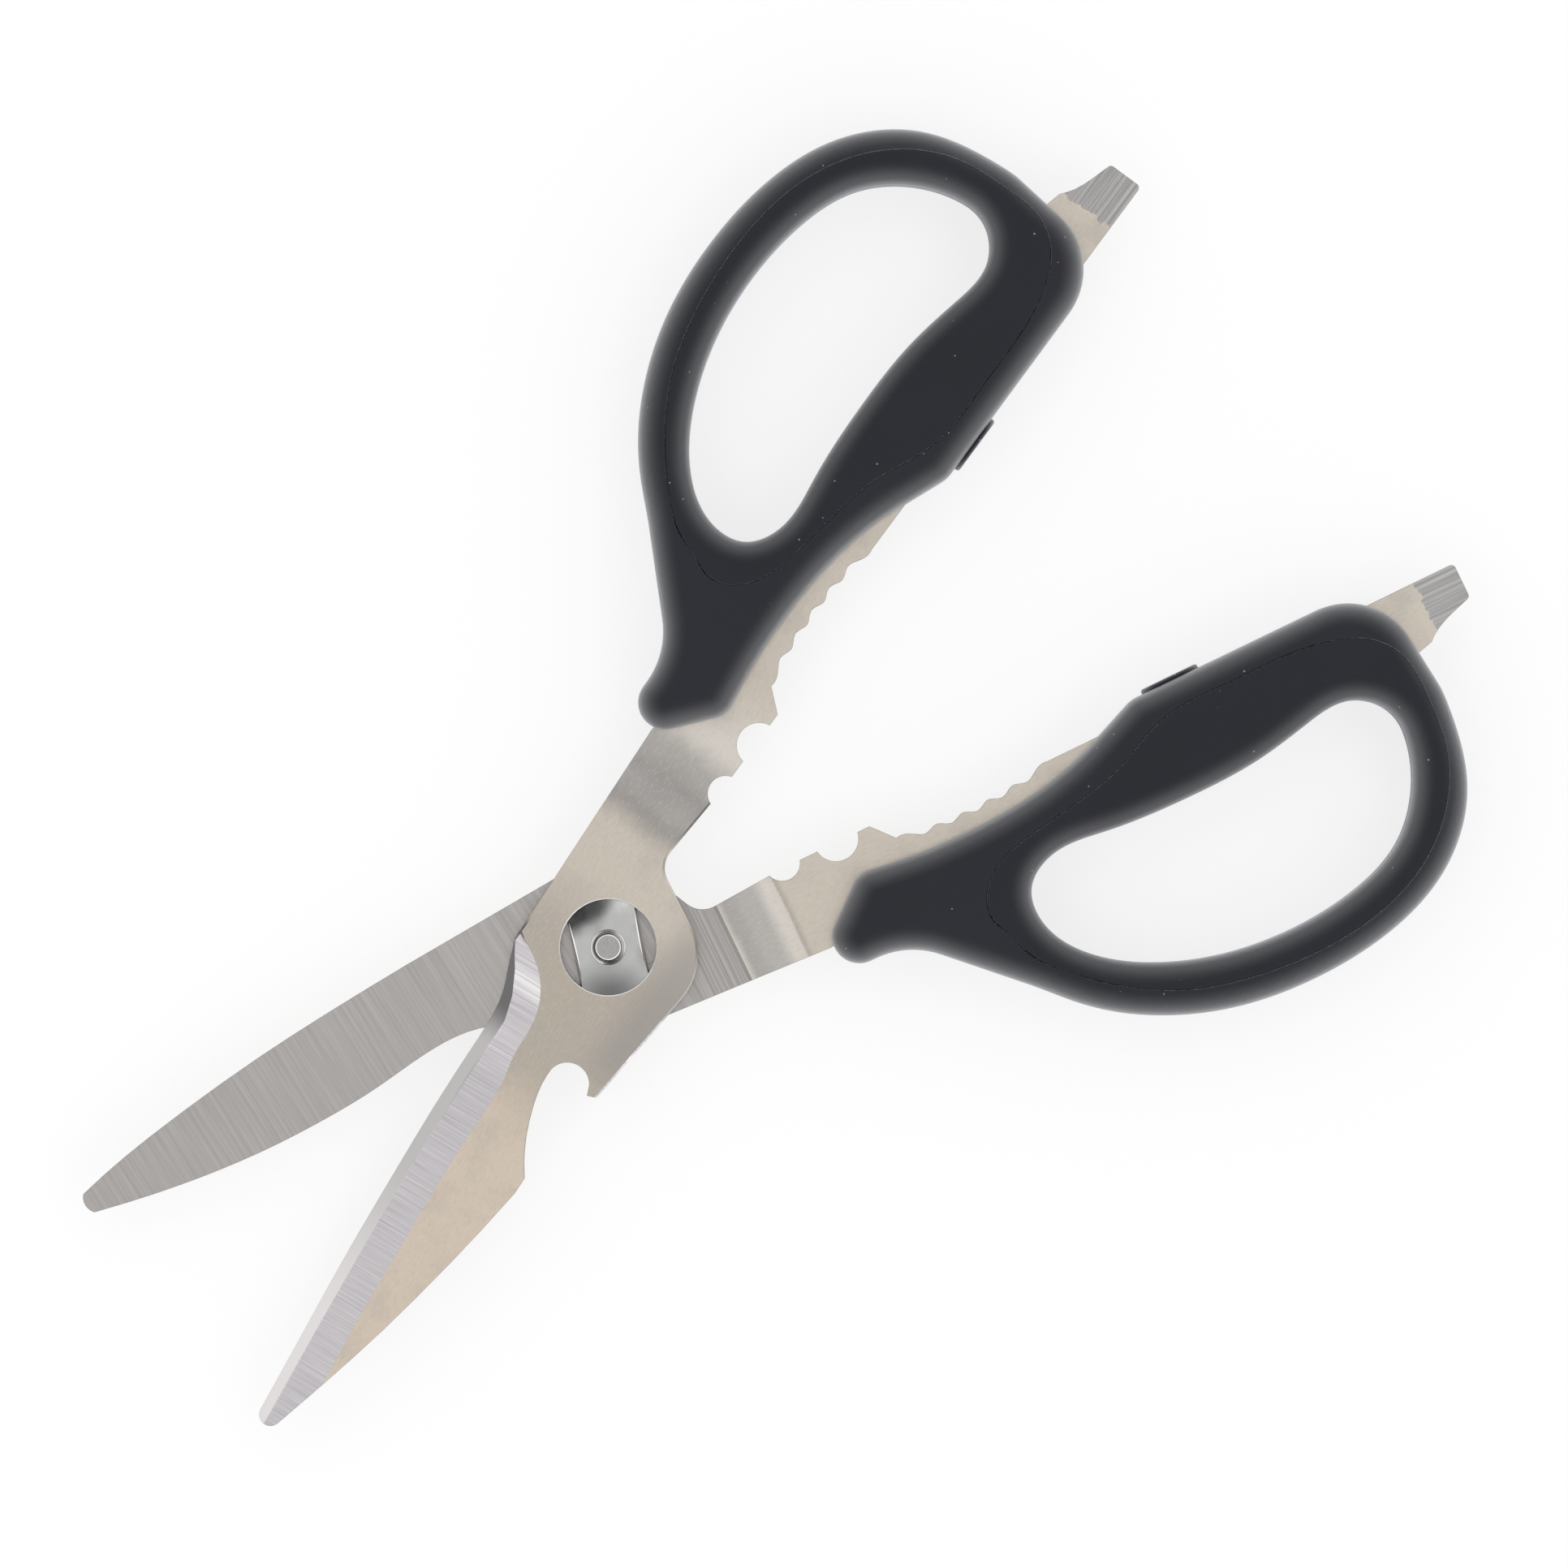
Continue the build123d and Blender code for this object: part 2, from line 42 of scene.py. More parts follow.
rest_opening = 27.8
front_turn = math.radians(180 + rest_opening / 2)
back_turn = math.radians(-rest_opening / 2)
lock_axis = math.radians(62.2)
counterbore_radius = 7.25
counterbore_break = 0.15
ground_end = 17.4
joggle_crease = 26.8
blade_heel = -4.0
coarse_start = 7.0
coarse_full = 11.0
front_lifter_start = 132.9
back_lifter_start = 133.9
mm_per_m = 1000
floor_height = min(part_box("front_handle_frame")[0][2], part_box("back_handle_frame")[0][2])
floor_half = 3.0

# How squarely a face looks up or down: on a flat one at least this, on a cut edge at most about
# these. With its sign, it tells the ground outer face of a blade from its inner one

flat_square = 0.9985
square_soft = 0.0008
cut_edge_square = (0.40, 0.60)
outer_facing = (-0.2, -0.4)
inner_facing = (0.90, 0.99)

# The fine grind's border on each blade: along it from the heel to the tip, and across it

front_fine_border = ((-88.3, -0.75), (-72.8, 1.20), (-59.6, 2.77), (-47.5, 4.00), (-35.4, 5.00),
                     (-24.3, 5.65), (-18.2, 6.00), (-14.5, 7.30), (-11.1, 9.30), (-9.0, 10.90),
                     (-7.5, 11.90))
back_fine_border = ((-88.2, 0.70), (-79.8, 1.90), (-69.7, 2.92), (-59.6, 3.35), (-50.5, 3.10),
                    (-41.0, 2.20), (-28.8, 0.50), (-22.5, 1.10), (-18.2, 2.90), (-14.5, 5.80),
                    (-11.1, 8.70), (-9.0, 10.70), (-7.5, 12.20))
border_low = -1.0
border_high = 12.5

# Colours as linear light. A pair is the lighter and the darker of one surface

steel_tan = (0.670, 0.605, 0.525, 1)
steel_warm = (0.730, 0.625, 0.515, 1)
steel_low = (0.530, 0.472, 0.402, 1)
steel_dull = (0.400, 0.362, 0.318, 1)
steel_bend_shade = (0.372, 0.350, 0.336, 1)
steel_pale = (0.750, 0.700, 0.640, 1)
steel_shine = (0.800, 0.750, 0.680, 1)
steel_grey = (0.470, 0.450, 0.425, 1)
steel_painted_shade = (0.370, 0.352, 0.338, 1)
inner_grey = ((0.545, 0.522, 0.505, 1), (0.400, 0.380, 0.368, 1))
coarse_grey = ((0.545, 0.526, 0.508, 1), (0.345, 0.328, 0.315, 1))
wide_lavender = ((0.700, 0.672, 0.690, 1), (0.450, 0.428, 0.448, 1))
wide_bright = (0.900, 0.880, 0.880, 1)
fine_tip = (0.700, 0.675, 0.670, 1)
fine_middle = (0.480, 0.466, 0.462, 1)
fine_heel = (0.150, 0.145, 0.147, 1)
lifter_grey = ((0.540, 0.530, 0.520, 1), (0.340, 0.330, 0.322, 1))
seat_grey = ((0.420, 0.410, 0.392, 1), (0.310, 0.300, 0.285, 1))
line_dark = (0.090, 0.086, 0.082, 1)
line_soft = (0.230, 0.222, 0.214, 1)
line_bright = (0.860, 0.850, 0.830, 1)
cut_grey = (0.250, 0.240, 0.230, 1)
chrome = ((0.510, 0.508, 0.505, 1), (0.430, 0.426, 0.421, 1))
rivet_grey = ((0.500, 0.490, 0.478, 1), (0.380, 0.370, 0.360, 1))
frame_charcoal = ((0.0165, 0.0172, 0.0240, 1), (0.0130, 0.0136, 0.0186, 1))
grip_charcoal = ((0.0140, 0.0147, 0.0212, 1), (0.0110, 0.0116, 0.0164, 1))
rim_sheen_grey = (0.118, 0.120, 0.126, 1)
dust_pale = (0.330, 0.330, 0.340, 1)
sheen_tint = (0.92, 0.94, 1.0, 1)
floor_white = (0.960, 0.960, 0.960, 1)
plain_white = (1, 1, 1, 1)

# How the plates' colours change along them, with painted shade and highlight at their joggle bends, and the
# fine grind's along the blade

# On the front plate the darker stops from 20 to 24.5 mm are painted shade on the joggle's bend
front_stops = ((-88.0, steel_warm), (-60.0, steel_warm), (-34.0, steel_warm), (-20.0, steel_low),
               (-4.0, steel_low), (9.0, steel_tan), (14.5, steel_tan), (20.0, steel_bend_shade),
               (24.5, steel_bend_shade), (29.0, steel_grey), (34.0, steel_pale), (46.0, steel_tan))
# On the back plate the pale band just before the joggle's crease is a painted highlight, and the dark stop at
# the crease is painted shade
back_stops = ((17.0, steel_pale), (18.5, steel_grey), (23.0, steel_grey), (25.5, steel_pale),
              (26.4, steel_pale), (joggle_crease, steel_low), (27.8, steel_tan), (46.0, steel_tan))
fine_stops = ((-92.0, fine_tip), (-72.0, fine_tip), (-40.0, fine_middle),
              (-23.0, fine_middle), (-16.0, fine_heel), (-8.0, fine_heel))

# Grains: waves per millimetre along, across and upwards, then the noise's detail and fineness

brushed_grain = ((0.8, 3.0, 0.0), 4.0, 0.70)
crosswise_grain = ((3.0, 0.04, 0.0), 3.0, 0.75)
inner_grain = ((1.7, 0.03, 0.0), 4.0, 0.66)
coarse_grain = ((2.0, 0.015, 0.0), 3.0, 0.66)
lifter_grain = ((0.03, 1.9, 0.0), 3.0, 0.60)
mottle_grain = ((0.16, 0.16, 0.16), 5.0, 0.6)
wobble_grain = ((0.9, 0.9, 0.9), 1.0, 0.5)
haze_grain = ((0.5, 0.5, 0.5), 3.0, 0.5)
wiping_grain = ((0.4, 9.0, 0.0), 4.0, 0.6)
peened_grain = ((1.2, 1.2, 1.2), 4.0, 0.6)
pit_grain = ((4.0, 4.0, 4.0), 2.0, 0.5)
cloud_grain = ((0.08, 0.08, 0.08), 3.0, 0.5)
frame_skin_grain = ((9.0, 9.0, 9.0), 2.0, 0.5)
grip_skin_grain = ((6.0, 6.0, 6.0), 2.0, 0.5)

# The part of a grain's range over which its lines or pits go from nothing to full

crosswise_range = (0.22, 0.78)
inner_range = (0.20, 0.80)
coarse_range = (0.28, 0.72)
lifter_range = (0.30, 0.70)
pit_range = (0.64, 0.72)

# Marks on the plates, and the painted shade along their edges: the range of a value over which each comes in,
# and its share of the colour

stain_mark = (0.45, 0.75, 0.35)
dark_scratch = (0.50, 0.75, 0.28)
bright_scratch = (0.50, 0.30, 0.22)
edge_shade = (0.02, 0.12, 0.75)

# Shares of the colour taken by the painted shade on the shoulder, the painted shadow along the coarse grind's
# end and the rivet's pits

shoulder_shade_share = 0.65
step_shadow_share = 0.32
pit_share = 0.5

# Zones on the plates in millimetres: from, to and the softness of both borders. Then how soft single
# borders are, how far the painted shade along an edge reaches in, how much the lid-lifter's start and the
# plates' colours wander, and how the grinding lines slant

shoulder_along = (-17.0, 10.0, 4.0)
shoulder_across = (-4.5, -11.0)
heel_streaks = (-13.2, -10.2, 1.2)
step_shadow_band = (ground_end - 0.62, ground_end, 0.12)
ring_highlight = (counterbore_radius, counterbore_radius + counterbore_break, 0.04)
heel_soft = 1.0
fine_soft = 0.04
ground_soft = 0.05
seat_soft = 0.05
lifter_soft = 0.25
edge_reach = 0.14
lifter_wobble = 1.6
front_wander = 5.0
back_wander = 0.8
grind_skew = 0.11

# Relief of each grain: its depth in millimetres and how strongly it shows

brushed_relief = (0.008, 0.5)
crosswise_relief = (0.010, 0.5)
lifter_relief = (0.04, 0.6)
wiping_relief = (0.002, 0.3)
pit_relief = (-0.010, 0.6)
skin_relief = (0.008, 0.35)

# Roughness of each surface, and what its marks add to it

steel_rough = 0.25
mottle_rough = 0.10
scratch_rough = 0.08
cut_rough = 0.15
polish_rough = 0.06
haze_rough = 0.08
wiping_rough = 0.04
rivet_rough = 0.14
rivet_middle_rough = 0.18
frame_rough = 0.34
grip_rough = 0.40
skin_rough = 0.10

# Painted reflections on the lock plate's slopes, dark and bright bands by the distance from its middle line,
# and painted highlight and shade rings on the rivet, by radius

slope_square = (0.70, 0.90, 0.02)
slope_skew = 0.03
slope_reflection_stops = ((4.42, line_dark), (4.54, line_dark), (4.66, line_bright), (4.86, line_bright),
               (4.98, line_dark), (5.12, line_soft), (5.26, line_dark))
rivet_middle = 1.76
middle_soft = 0.05
rivet_wobble = 0.12
rivet_shade_band = (1.98, 2.30, 0.08)
shade_side = (0.3, -1.6)
rivet_light_rings = ((1.70, line_bright), (1.92, line_bright), (2.04, line_soft), (2.20, chrome[1]),
               (2.50, chrome[1]), (2.62, line_bright), (2.74, line_soft))

# The handles' plastic: how strongly its flats mirror and what the rounded rims add to that, its
# sheen, which faces count as rounded, the painted sheen that lightens those, and specks of dust, each a spot
# in some cells of a pattern

plastic_ior = 1.5
flat_gloss = 0.16
rim_gloss = 1.00
sheen = 0.80
sheen_rough = 0.35
rounded_square = (0.03, 0.40)
rim_sheen_share = 1.8
skin_share = 0.06
dust_cells = 0.62
dust_radius = (0.110, 0.060)
dust_chosen = (0.80, 0.90)
dust_share = 0.7

# The studio: light by how high it comes from, the part of the floor's whiteness that shadows leave
# alone, and patches of the sky, each with its place (up and right in the photograph), the radius of
# its middle and of its rim, and how much it adds or takes

horizon_light = 1.15
zenith_light = 1.05
sky_band = (0.10, 0.85)
floor_own_share = 0.76
floor_own_light = 1.0
dimmest = 0.04
patches = (
    (0.240, -0.154, 0.125, 0.165, -0.95),
    (0.130, -0.250, 0.080, 0.120, -0.95),
    (0.330, -0.030, 0.090, 0.130, -0.95),
    (-0.340, 0.000, 0.080, 0.300, -0.78),
    (0.215, 0.050, 0.010, 0.050, 0.90),
    (0.090, 0.205, 0.030, 0.095, -0.70),
    (-0.040, 0.220, 0.030, 0.095, -0.70),
    (-0.550, 0.650, 0.200, 0.700, 0.50),
)


class Graph:
    """Adds shader nodes one call at a time and wires them as they are made."""

    def __init__(self, tree):
        self.tree = tree
        self.tree.nodes.clear()

    def put(self, socket, value):
        if isinstance(value, bpy.types.NodeSocket):
            self.tree.links.new(value, socket)
        else:
            socket.default_value = value

    def add(self, kind, settings=None, inputs=None):
        node = self.tree.nodes.new(kind)
        for name, value in (settings or {}).items():
            setattr(node, name, value)
        for name, value in (inputs or {}).items():
            self.put(node.inputs[name], value)
        return node

    def math(self, operation, *values):
        node = self.add("ShaderNodeMath", {"operation": operation})
        for index, value in enumerate(values):
            self.put(node.inputs[index], value)
        return node.outputs[0]

    def mix(self, share, first, second):
        """A colour between two, by a share."""
        node = self.add("ShaderNodeMix", {"data_type": "RGBA"}, {0: share, 6: first, 7: second})
        return node.outputs[2]

    def blend(self, share, first, second):
        """A normal between two, by a share."""
        node = self.add("ShaderNodeMix", {"data_type": "VECTOR"}, {0: share, 4: first, 5: second})
        return node.outputs[1]

    def step(self, value, low, high):
        """Goes smoothly from 0 to 1 as the value goes from low to high."""
        node = self.add("ShaderNodeMapRange", {"interpolation_type": "SMOOTHSTEP"},
                        {"Value": value, "From Min": low, "From Max": high})
        return node.outputs["Result"]

    def between(self, value, low, high, soft):
        """1 between two values, with a soft border at each."""
        rise = self.step(value, low - soft, low + soft)
        fall = self.step(value, high + soft, high - soft)
        return self.math("MULTIPLY", rise, fall)

    def mark(self, colour, value, kind, other):
        """Brings a second colour in over a range of the value, up to a share."""
        low, high, share = kind
        return self.mix(self.math("MULTIPLY", self.step(value, low, high), share), colour, other)

    def grade(self, value, stops, manner="EASE"):
        """Colours that follow one another along a value, each given with its place."""
        low, high = stops[0][0], stops[-1][0]
        share = self.add("ShaderNodeMapRange", None, {"Value": value, "From Min": low, "From Max": high})
        ramp = self.add("ShaderNodeValToRGB", None, {"Fac": share.outputs["Result"]})
        band = ramp.color_ramp
        band.interpolation = manner
        for place, colour in stops[1:-1]:
            band.elements.new((place - low) / (high - low)).color = colour
        band.elements[0].color = stops[0][1]
        band.elements[-1].color = stops[-1][1]
        return ramp.outputs["Color"]

    def follow(self, value, points, low, high):
        """A number that follows points, each a place and the number there, from low to high."""
        stops = [(place, ((number - low) / (high - low),) * 3 + (1,)) for place, number in points]
        return self.math("MULTIPLY_ADD", self.grade(value, stops, "LINEAR"), high - low, low)

    def noise(self, place, stretch, detail, fineness):
        """Noise from 0 to 1, with its own count of waves per millimetre each way."""
        place = self.add("ShaderNodeMapping", None, {"Vector": place, "Scale": stretch}).outputs[0]
        node = self.add("ShaderNodeTexNoise", None,
                        {"Vector": place, "Scale": 1.0, "Detail": detail, "Roughness": fineness})
        return node.outputs["Fac"]

    def bump(self, height, depth, strength):
        """A normal from a height, with its depth in millimetres."""
        node = self.add("ShaderNodeBump", None,
                        {"Height": height, "Distance": depth / mm_per_m, "Strength": strength})
        return node.outputs["Normal"]

    def combine(self, x, y):
        return self.add("ShaderNodeCombineXYZ", None, {0: x, 1: y}).outputs[0]

    def length(self, x, y):
        """How far a place is from the pivot's axis."""
        node = self.add("ShaderNodeVectorMath", {"operation": "LENGTH"}, {0: self.combine(x, y)})
        return node.outputs["Value"]

    def edge(self, reach):
        """From 0 on a face to about 0.3 on its edge, within the reach in millimetres."""
        rounded = self.add("ShaderNodeBevel", {"samples": 6}, {"Radius": reach / mm_per_m}).outputs[0]
        own = self.add("ShaderNodeNewGeometry").outputs["Normal"]
        turn = self.add("ShaderNodeVectorMath", {"operation": "DOT_PRODUCT"}, {0: rounded, 1: own})
        return self.math("SUBTRACT", 1.0, turn.outputs["Value"])


def new_material(name):
    material = bpy.data.materials.new(name)
    material.use_nodes = True
    return material, Graph(material.node_tree)


def close(graph, inputs):
    """Ends a material in one Principled surface."""
    surface = graph.add("ShaderNodeBsdfPrincipled", None, inputs)
    graph.add("ShaderNodeOutputMaterial", None, {"Surface": surface.outputs[0]})


def half_place(graph, turn, turned_over):
    """Millimetres along and across one half, as one vector and as two numbers."""
    place = graph.add("ShaderNodeTexCoord").outputs["Object"]
    turned = graph.add("ShaderNodeVectorRotate", {"rotation_type": "Z_AXIS"},
                       {"Vector": place, "Angle": -turn}).outputs[0]
    flip = -mm_per_m if turned_over else mm_per_m
    scaled = graph.add("ShaderNodeVectorMath", {"operation": "MULTIPLY"},
                       {0: turned, 1: (flip, mm_per_m, mm_per_m)})
    split = graph.add("ShaderNodeSeparateXYZ", None, {0: scaled.outputs[0]})
    return scaled.outputs[0], split.outputs[0], split.outputs[1]


def lift(graph):
    """How squarely the surface faces up or down in the object's own frame, without and with its sign."""
    normal = graph.add("ShaderNodeTexCoord").outputs["Normal"]
    up = graph.add("ShaderNodeSeparateXYZ", None, {0: normal}).outputs[2]
    return graph.math("ABSOLUTE", up), up


def blade_material(name, turn, turned_over, lifter_start, fine_border, face_stops, wander):
    """Stamped stainless plate: brushed face, crosswise ground bevels, ground lid-lifter, dull cut edges."""
    material, graph = new_material(name)
    place, along, across = half_place(graph, turn, turned_over)
    square, up = lift(graph)
    skew = -grind_skew if turned_over else grind_skew
    slanted = graph.combine(graph.math("MULTIPLY_ADD", across, skew, along), across)

    scratches = graph.noise(place, *brushed_grain)
    cross_lines = graph.step(graph.noise(slanted, *crosswise_grain), *crosswise_range)
    inner_lines = graph.step(graph.noise(slanted, *inner_grain), *inner_range)
    coarse_lines = graph.step(graph.noise(place, *coarse_grain), *coarse_range)
    lifter_lines = graph.step(graph.noise(place, *lifter_grain), *lifter_range)
    mottle = graph.noise(place, *mottle_grain)

    blade_side = graph.step(along, blade_heel + heel_soft, blade_heel - heel_soft)
    facing = up if turned_over else graph.math("MULTIPLY", up, -1.0)
    outside = graph.math("MULTIPLY", graph.step(facing, *outer_facing), blade_side)
    past = graph.math("SUBTRACT", across, graph.follow(along, fine_border, border_low, border_high))
    fine = graph.math("MULTIPLY", graph.step(past, -fine_soft, fine_soft), outside)
    tilted = graph.step(square, flat_square + square_soft, flat_square - square_soft)
    wide = graph.math("MULTIPLY", tilted, outside)
    cut = graph.step(square, cut_edge_square[1], cut_edge_square[0])
    ground_side = graph.step(along, ground_end + ground_soft, ground_end - ground_soft)
    inner = graph.math("MULTIPLY", graph.step(facing, *inner_facing), ground_side)
    wobble = graph.math("MULTIPLY", graph.noise(place, *wobble_grain), lifter_wobble)
    lifter = graph.step(graph.math("ADD", along, wobble), lifter_start, lifter_start + lifter_soft)

    wandering = graph.math("MULTIPLY_ADD", mottle, wander, graph.math("SUBTRACT", along, wander / 2))
    colour = graph.grade(wandering, face_stops)
    colour = graph.mark(colour, mottle, stain_mark, steel_grey)
    colour = graph.mark(colour, scratches, dark_scratch, steel_dull)
    colour = graph.mark(colour, scratches, bright_scratch, steel_shine)
    # Painted shade: the front plate's shoulder beside the pivot is darkened towards a cooler grey
    if not turned_over:
        shoulder = graph.math("MULTIPLY", graph.step(across, *shoulder_across),
                              graph.between(along, *shoulder_along))
        colour = graph.mix(graph.math("MULTIPLY", shoulder, shoulder_shade_share), colour, steel_painted_shade)

    grain = graph.mix(inner_lines, *inner_grey)
    coarse_side = graph.step(along, coarse_start, coarse_full)
    grain = graph.mix(coarse_side, grain, graph.mix(coarse_lines, *coarse_grey))
    # Painted shadow: a dark band along the end of the ground zone, as the shadow of its step
    border = graph.between(along, *step_shadow_band)
    grain = graph.mix(graph.math("MULTIPLY", border, step_shadow_share), grain, line_dark)
    colour = graph.mix(inner, colour, grain)

    streaks = graph.math("MULTIPLY", graph.between(along, *heel_streaks), cross_lines)
    wide_colour = graph.mix(cross_lines, *reversed(wide_lavender))
    colour = graph.mix(wide, colour, graph.mix(streaks, wide_colour, wide_bright))
    colour = graph.mix(fine, colour, graph.grade(along, fine_stops))
    colour = graph.mix(lifter, colour, graph.mix(lifter_lines, *lifter_grey))

    # Painted shade: a thin dark line along every edge of the plates, where the edge turns from the light
    colour = graph.mark(colour, graph.edge(edge_reach), edge_shade, line_dark)
    if not turned_over:
        radius = graph.length(along, across)
        seat = graph.step(radius, counterbore_radius, counterbore_radius - seat_soft)
        colour = graph.mix(seat, colour, graph.mix(scratches, *seat_grey))
        # Painted highlight: a bright ring on the counterbore's broken edge
        colour = graph.mix(graph.between(radius, *ring_highlight), colour, line_bright)
    colour = graph.mix(cut, colour, cut_grey)

    lengthwise = graph.bump(scratches, *brushed_relief)
    crosswise = graph.bump(graph.mix(inner, cross_lines, inner_lines), *crosswise_relief)
    lifted = graph.bump(lifter_lines, *lifter_relief)
    ground = graph.math("MAXIMUM", wide, inner)
    normal = graph.blend(ground, lengthwise, crosswise)
    normal = graph.blend(lifter, normal, lifted)
    rough = graph.math("MULTIPLY_ADD", mottle, mottle_rough, steel_rough)
    rough = graph.math("MULTIPLY_ADD", scratches, scratch_rough, rough)
    rough = graph.math("MULTIPLY_ADD", cut, cut_rough, rough)
    close(graph, {"Base Color": colour, "Metallic": 1.0, "Roughness": rough, "Normal": normal})
    return material


def polished_material(name):
    """Polished stainless steel with faint wiping marks, and painted reflections as dark and bright bands on
    the lock plate's two slopes.
    """
    material, graph = new_material(name)
    place, along, across = half_place(graph, lock_axis, False)
    square = lift(graph)[0]
    haze = graph.noise(place, *haze_grain)
    marks = graph.noise(place, *wiping_grain)
    slope = graph.between(square, *slope_square)
    reflection_distance = graph.math("MULTIPLY_ADD", along, slope_skew, graph.math("ABSOLUTE", across))
    colour = graph.mix(slope, graph.mix(haze, *chrome), graph.grade(reflection_distance, slope_reflection_stops))
    rough = graph.math("MULTIPLY_ADD", haze, haze_rough, polish_rough)
    rough = graph.math("MULTIPLY_ADD", marks, wiping_rough, rough)
    close(graph, {"Base Color": colour, "Metallic": 1.0, "Roughness": rough,
                  "Normal": graph.bump(marks, *wiping_relief)})
    return material


def rivet_material(name):
    """A rivet pressed over: dull middle, painted highlight and shade rings around it, painted shade on one
    side of them, a few pits.
    """
    material, graph = new_material(name)
    place, along, across = half_place(graph, lock_axis, False)
    grain = graph.noise(place, *peened_grain)
    pits = graph.step(graph.noise(place, *pit_grain), *pit_range)
    radius = graph.length(along, across)
    rings = graph.grade(graph.math("MULTIPLY_ADD", grain, rivet_wobble, radius), rivet_light_rings)
    middle = graph.step(radius, rivet_middle + middle_soft, rivet_middle - middle_soft)
    # Painted shade: a dark crescent on one side of the rivet's ring
    crescent_shade = graph.math("MULTIPLY", graph.step(across, *shade_side), graph.between(radius, *rivet_shade_band))
    ringed = graph.mix(crescent_shade, rings, line_dark)
    colour = graph.mix(middle, ringed, graph.mix(grain, *rivet_grey))
    colour = graph.mix(graph.math("MULTIPLY", pits, pit_share), colour, line_dark)
    rough = graph.math("MULTIPLY_ADD", middle, rivet_middle_rough, rivet_rough)
    close(graph, {"Base Color": colour, "Metallic": 1.0, "Roughness": rough,
                  "Normal": graph.bump(pits, *pit_relief)})
    return material


def dust_specks(graph, place):
    """1 on small round specks in a few cells of a loose pattern."""
    speck = graph.add("ShaderNodeTexVoronoi", {"feature": "F1"}, {"Vector": place, "Scale": dust_cells})
    cell = graph.add("ShaderNodeSeparateColor", None, {0: speck.outputs["Color"]}).outputs[0]
    near = graph.step(speck.outputs["Distance"], *dust_radius)
    return graph.math("MULTIPLY", near, graph.step(cell, *dust_chosen))


def plastic_material(name, colours, roughness, skin_grain):
    """Satin moulded plastic with a fine skin, slight clouding, painted sheen on the rounded rims and a few
    specks of dust.
    """
    material, graph = new_material(name)
    place = half_place(graph, 0.0, False)[0]
    square = lift(graph)[0]
    skin = graph.noise(place, *skin_grain)
    rounded = graph.math("MULTIPLY", graph.math("SUBTRACT", 1.0, square), graph.step(square, *rounded_square))
    rim_sheen_and_skin = graph.math("MULTIPLY_ADD", rounded, rim_sheen_share, graph.math("MULTIPLY", skin, skin_share))
    colour = graph.mix(graph.noise(place, *cloud_grain), *colours)
    # Painted sheen: the rounded rims are lightened towards a pale grey, and the skin's noise adds a little of
    # the same grey
    colour = graph.mix(rim_sheen_and_skin, colour, rim_sheen_grey)
    colour = graph.mix(graph.math("MULTIPLY", dust_specks(graph, place), dust_share), colour, dust_pale)
    rough = graph.math("MULTIPLY_ADD", skin, skin_rough, roughness)
    gloss = graph.math("MULTIPLY_ADD", rounded, rim_gloss, flat_gloss)
    close(graph, {"Base Color": colour, "Roughness": rough, "Normal": graph.bump(skin, *skin_relief),
                  "IOR": plastic_ior, "Specular IOR Level": gloss, "Sheen Weight": sheen,
                  "Sheen Roughness": sheen_rough, "Sheen Tint": sheen_tint})
    return material


def dress(node, material):
    """Gives a CAD node its material."""
    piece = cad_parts[node]
    piece.data.materials.clear()
    piece.data.materials.append(material)


def dress_all():
    """Dresses all eleven nodes."""
    dress("front_blade", blade_material("front_plate_steel", front_turn, False, front_lifter_start,
                                        front_fine_border, front_stops, front_wander))
    dress("back_blade", blade_material("back_plate_steel", back_turn, True, back_lifter_start,
                                       back_fine_border, back_stops, back_wander))
    polished = polished_material("polished_steel")
    for node in ("lock_plate", "hub_collar"):
        dress(node, polished)
    dress("pivot_rivet", rivet_material("rivet_steel"))
    frame_plastic = plastic_material("frame_plastic", frame_charcoal, frame_rough, frame_skin_grain)
    for node in ("front_handle_frame", "back_handle_frame"):
        dress(node, frame_plastic)
    grip_plastic = plastic_material("grip_plastic", grip_charcoal, grip_rough, grip_skin_grain)
    for node in ("front_soft_grip", "back_soft_grip", "front_stop_pad", "back_stop_pad"):
        dress(node, grip_plastic)


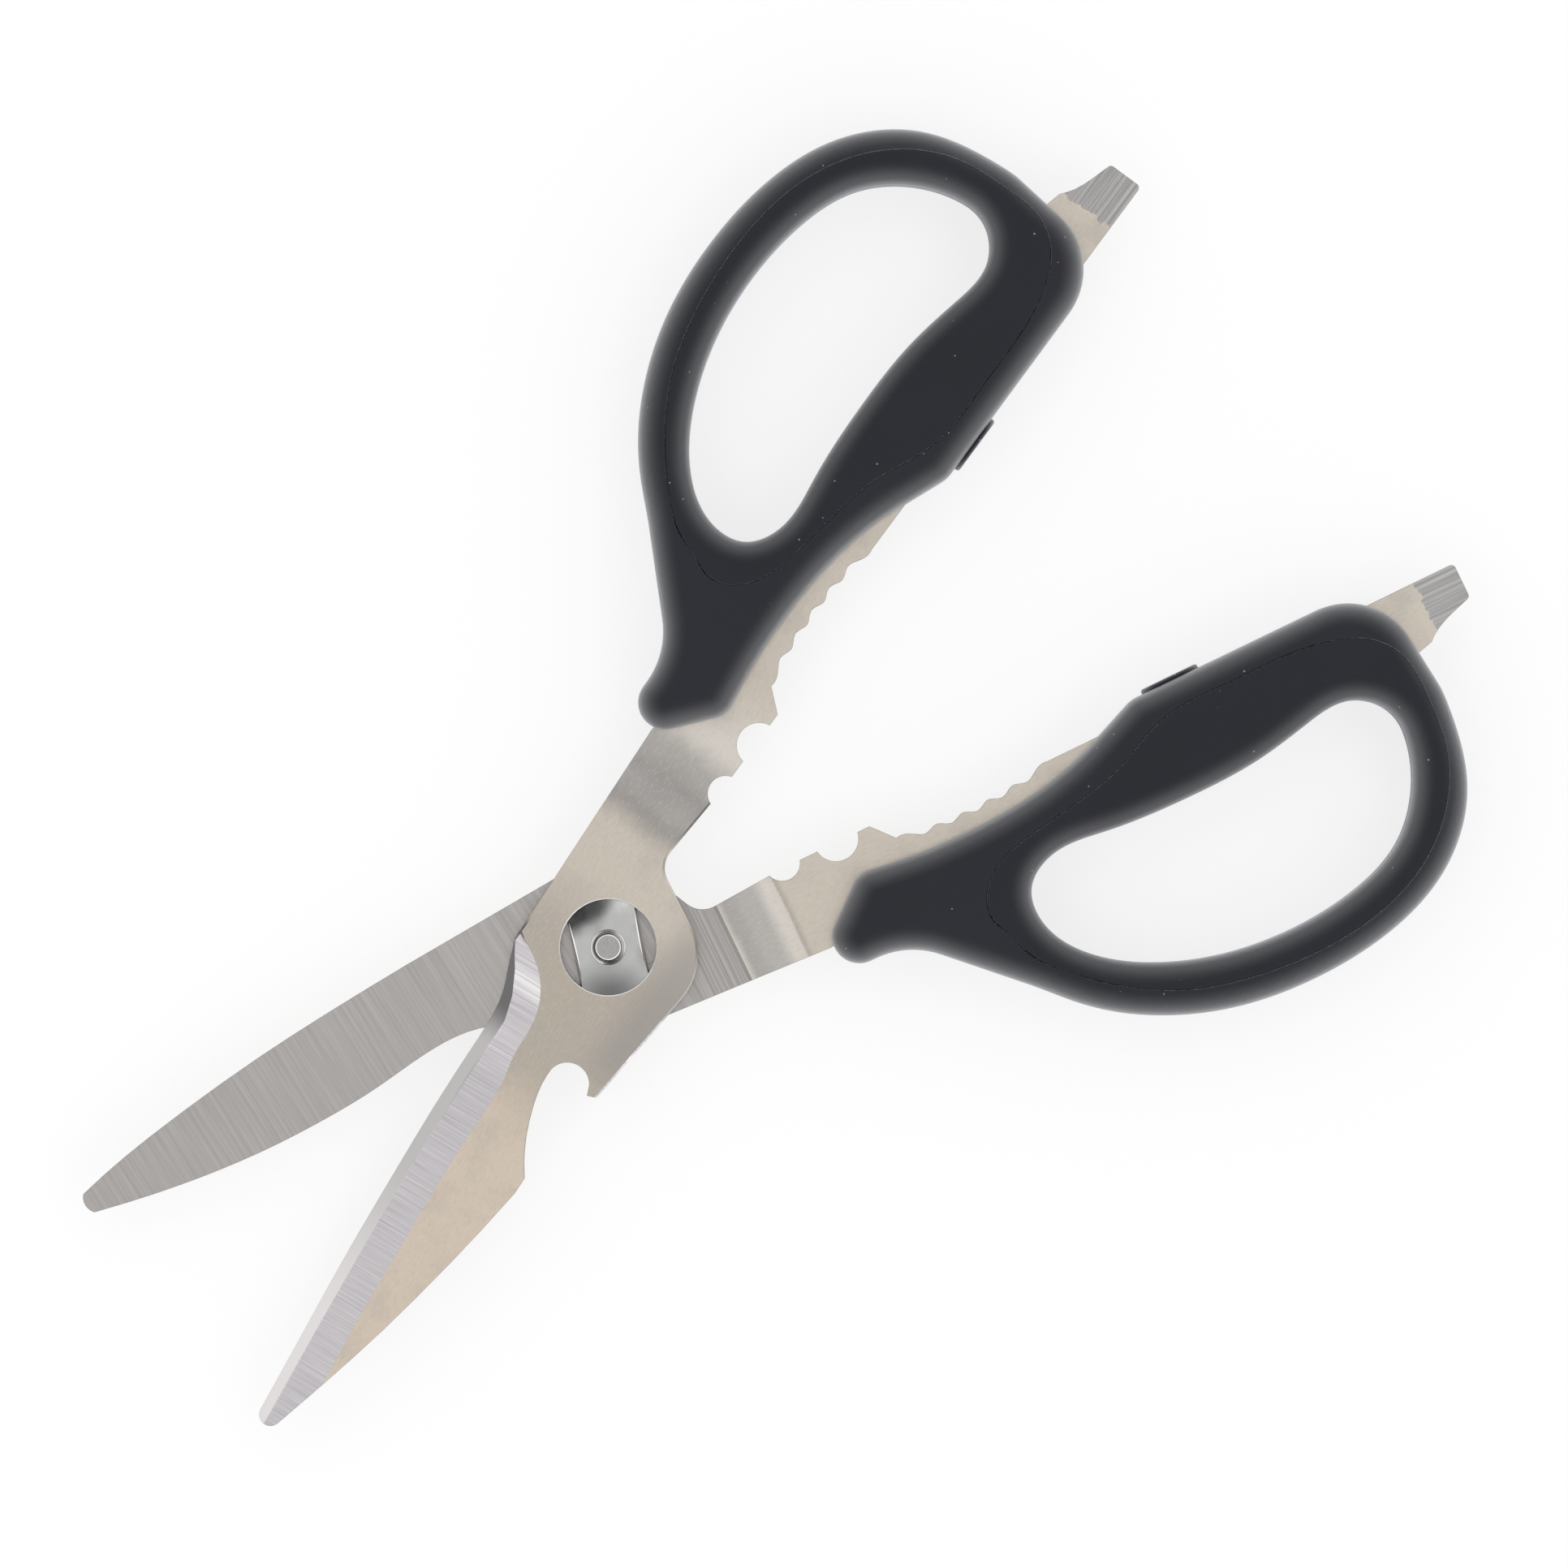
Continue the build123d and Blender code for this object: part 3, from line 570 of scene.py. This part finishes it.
def white_floor():
    """A plain white floor, just under the handles, that keeps the object's shadow."""
    mesh = bpy.data.meshes.new("floor")
    corners = [(-floor_half, -floor_half, floor_height), (floor_half, -floor_half, floor_height),
               (floor_half, floor_half, floor_height), (-floor_half, floor_half, floor_height)]
    mesh.from_pydata(corners, [], [(0, 1, 2, 3)])
    floor = bpy.data.objects.new("floor", mesh)
    bpy.context.scene.collection.objects.link(floor)
    material, graph = new_material("floor_white")
    matt = graph.add("ShaderNodeBsdfDiffuse", None, {"Color": floor_white})
    rays = graph.add("ShaderNodeLightPath").outputs
    seen = graph.math("MAXIMUM", rays["Is Camera Ray"], rays["Is Glossy Ray"])
    glow = graph.add("ShaderNodeEmission", None, {"Color": plain_white, "Strength": floor_own_light})
    both = graph.add("ShaderNodeMixShader", None, {0: graph.math("MULTIPLY", seen, floor_own_share),
                                                   1: matt.outputs[0], 2: glow.outputs[0]})
    graph.add("ShaderNodeOutputMaterial", None, {"Surface": both.outputs[0]})
    mesh.materials.append(material)


def soft_world():
    """A pale surround, a little brighter low down, with a few cards overhead for the metal to show."""
    world = bpy.data.worlds.new("studio")
    bpy.context.scene.world = world
    world.use_nodes = True
    graph = Graph(world.node_tree)
    towards = graph.add("ShaderNodeTexCoord").outputs["Generated"]
    height = graph.add("ShaderNodeSeparateXYZ", None, {0: towards}).outputs[2]
    level = graph.math("MULTIPLY_ADD", graph.step(height, *sky_band),
                       zenith_light - horizon_light, horizon_light)
    for up, right, middle, rim, strength in patches:
        spot = photo_up * up + photo_right * right
        spot.z = math.sqrt(1 - spot.length_squared)
        away = graph.add("ShaderNodeVectorMath", {"operation": "DISTANCE"}, {0: towards, 1: spot})
        patch = graph.step(away.outputs["Value"], rim, middle)
        level = graph.math("ADD", level, graph.math("MULTIPLY", patch, strength))
    level = graph.math("MAXIMUM", level, dimmest)
    shade = graph.add("ShaderNodeBackground", None, {"Color": plain_white, "Strength": level})
    graph.add("ShaderNodeOutputWorld", None, {"Surface": shade.outputs[0]})


def photo_camera():
    """A camera straight above the object, turned and framed as the photograph was."""
    camera = bpy.data.cameras.new("photo_camera")
    camera.sensor_width = sensor_width
    camera.lens = sensor_width * camera_distance / photo_width
    camera.clip_end = camera_reach
    holder = bpy.data.objects.new("photo_camera", camera)
    bpy.context.scene.collection.objects.link(holder)
    turn = Matrix((photo_right, photo_up, photo_right.cross(photo_up))).transposed()
    place = Matrix.Translation(photo_centre + Vector((0, 0, camera_distance)))
    holder.matrix_world = place @ turn.to_4x4()
    bpy.context.scene.camera = holder


dress_all()
white_floor()
soft_world()
photo_camera()
bpy.context.scene.view_settings.view_transform = "Standard"
